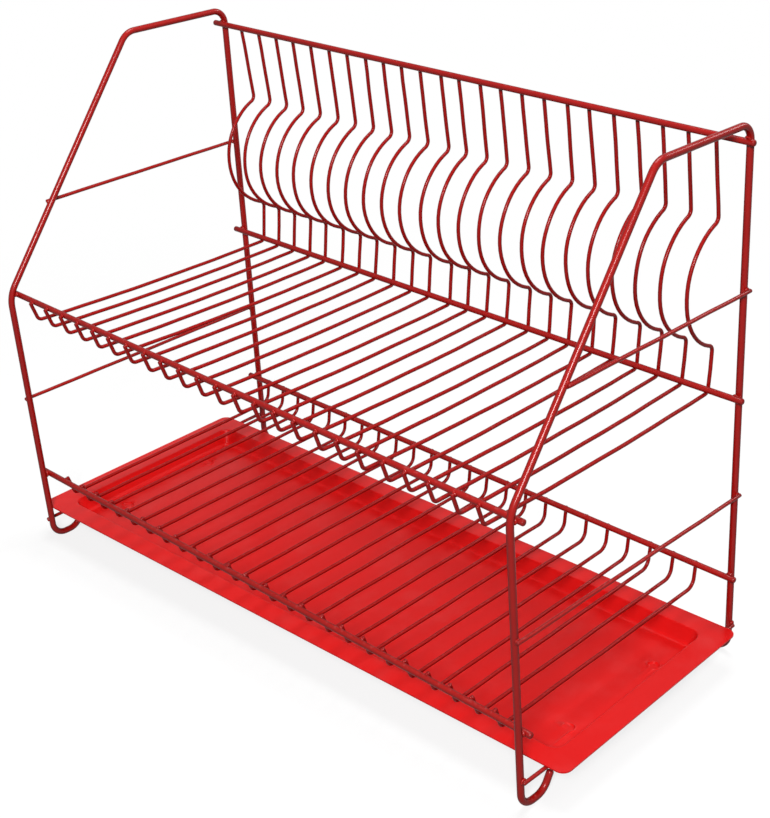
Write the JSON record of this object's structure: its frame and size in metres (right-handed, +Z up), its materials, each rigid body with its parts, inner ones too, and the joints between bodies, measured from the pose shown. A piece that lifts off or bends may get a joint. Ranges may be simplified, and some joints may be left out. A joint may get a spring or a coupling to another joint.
{
  "type": "two-tier dish rack",
  "caption": "Free-standing two-tier wire dish rack: bent side frames, cross rails, a plate grid with a rounded bulge, two wire shelves and a lift-out drip tray.",
  "frame": {"origin": "centre of the footprint of the whole rack, on the surface that it stands on", "axes": "+X along the cross rails towards the rack's right, -Y to the open front, +Z up"},
  "size_m": [0.5396, 0.2531, 0.4054],
  "materials": {
    "frame_coat": "glossy red powder coat on thick steel wire",
    "rail_coat": "glossy red powder coat on steel rod",
    "wire_coat": "glossy red powder coat on thin steel wire",
    "tray_plastic": "smooth red moulded plastic, slightly waxy gloss"
  },
  "bodies": {
    "rack_frame": {"guard_bar_left": "frame_coat", "guard_bar_right": "frame_coat", "lower_shelf_front_rail": "rail_coat", "lower_shelf_rear_rail": "rail_coat", "lower_wire_01": "wire_coat", "lower_wire_02": "wire_coat", "lower_wire_03": "wire_coat", "lower_wire_04": "wire_coat", "lower_wire_05": "wire_coat", "lower_wire_06": "wire_coat", "lower_wire_07": "wire_coat", "lower_wire_08": "wire_coat", "lower_wire_09": "wire_coat", "lower_wire_10": "wire_coat", "lower_wire_11": "wire_coat", "lower_wire_12": "wire_coat", "lower_wire_13": "wire_coat", "lower_wire_14": "wire_coat", "lower_wire_15": "wire_coat", "lower_wire_16": "wire_coat", "lower_wire_17": "wire_coat", "lower_wire_18": "wire_coat", "lower_wire_19": "wire_coat", "lower_wire_20": "wire_coat", "lower_wire_21": "wire_coat", "lower_wire_22": "wire_coat", "lower_wire_23": "wire_coat", "lower_wire_24": "wire_coat", "side_frame_left": "frame_coat", "side_frame_right": "frame_coat", "top_rear_rail": "rail_coat", "tray_bar_left": "frame_coat", "tray_bar_right": "frame_coat", "upper_shelf_front_rail": "rail_coat", "upper_shelf_rear_rail": "rail_coat", "upper_wire_01": "wire_coat", "upper_wire_02": "wire_coat", "upper_wire_03": "wire_coat", "upper_wire_04": "wire_coat", "upper_wire_05": "wire_coat", "upper_wire_06": "wire_coat", "upper_wire_07": "wire_coat", "upper_wire_08": "wire_coat", "upper_wire_09": "wire_coat", "upper_wire_10": "wire_coat", "upper_wire_11": "wire_coat", "upper_wire_12": "wire_coat", "upper_wire_13": "wire_coat", "upper_wire_14": "wire_coat", "upper_wire_15": "wire_coat", "upper_wire_16": "wire_coat", "upper_wire_17": "wire_coat", "upper_wire_18": "wire_coat", "upper_wire_19": "wire_coat", "upper_wire_20": "wire_coat", "upper_wire_21": "wire_coat", "upper_wire_22": "wire_coat", "upper_wire_23": "wire_coat", "upper_wire_24": "wire_coat"},
    "tray": {"drip_tray": "tray_plastic"}
  },
  "joints": [
    {"name": "tray_lift", "type": "slide", "parent": "rack_frame", "child": "tray", "axis": [0, 0, 1], "range_m": [0, 0.0165]}
  ]
}
